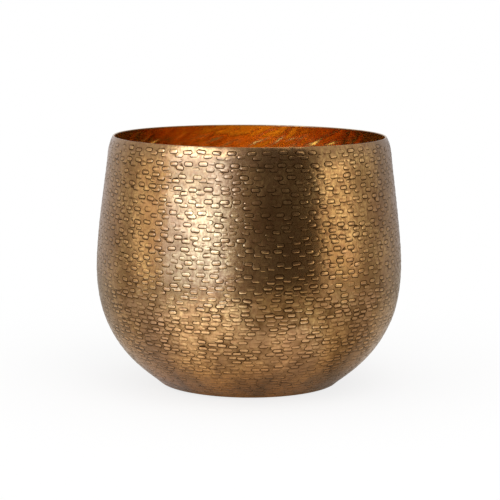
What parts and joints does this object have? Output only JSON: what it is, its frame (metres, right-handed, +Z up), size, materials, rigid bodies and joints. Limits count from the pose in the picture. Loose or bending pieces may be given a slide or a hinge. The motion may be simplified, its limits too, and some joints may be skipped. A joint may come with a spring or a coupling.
{
  "type": "table vase",
  "caption": "Round open metal table vase with a full belly, tapering upper wall and thin turned-in lip, lined in lacquer and standing on felt pads.",
  "frame": {"origin": "centre of the circle that the felt pads stand on, in the plane of the table top", "axes": "+Z up along the vase's axis; the vase looks the same all round, and +X and +Y run midway between the felt pads"},
  "size_m": [0.25, 0.25, 0.2036],
  "materials": {
    "hammered_brass": "satin, dark patina in the struck marks",
    "floor_brass": "satin, lacquered above",
    "brazing_filler": "as run, wire brushed",
    "felt": "pressed wool felt",
    "gold_lacquer": "satin burnt-gold lacquer over hammered sheet"
  },
  "bodies": {
    "root": {"hammered_wall": "hammered_brass", "base_pan": "floor_brass", "braze_seam": "brazing_filler", "felt_pad_1": "felt", "felt_pad_2": "felt", "felt_pad_3": "felt", "felt_pad_4": "felt"}
  },
  "joints": []
}
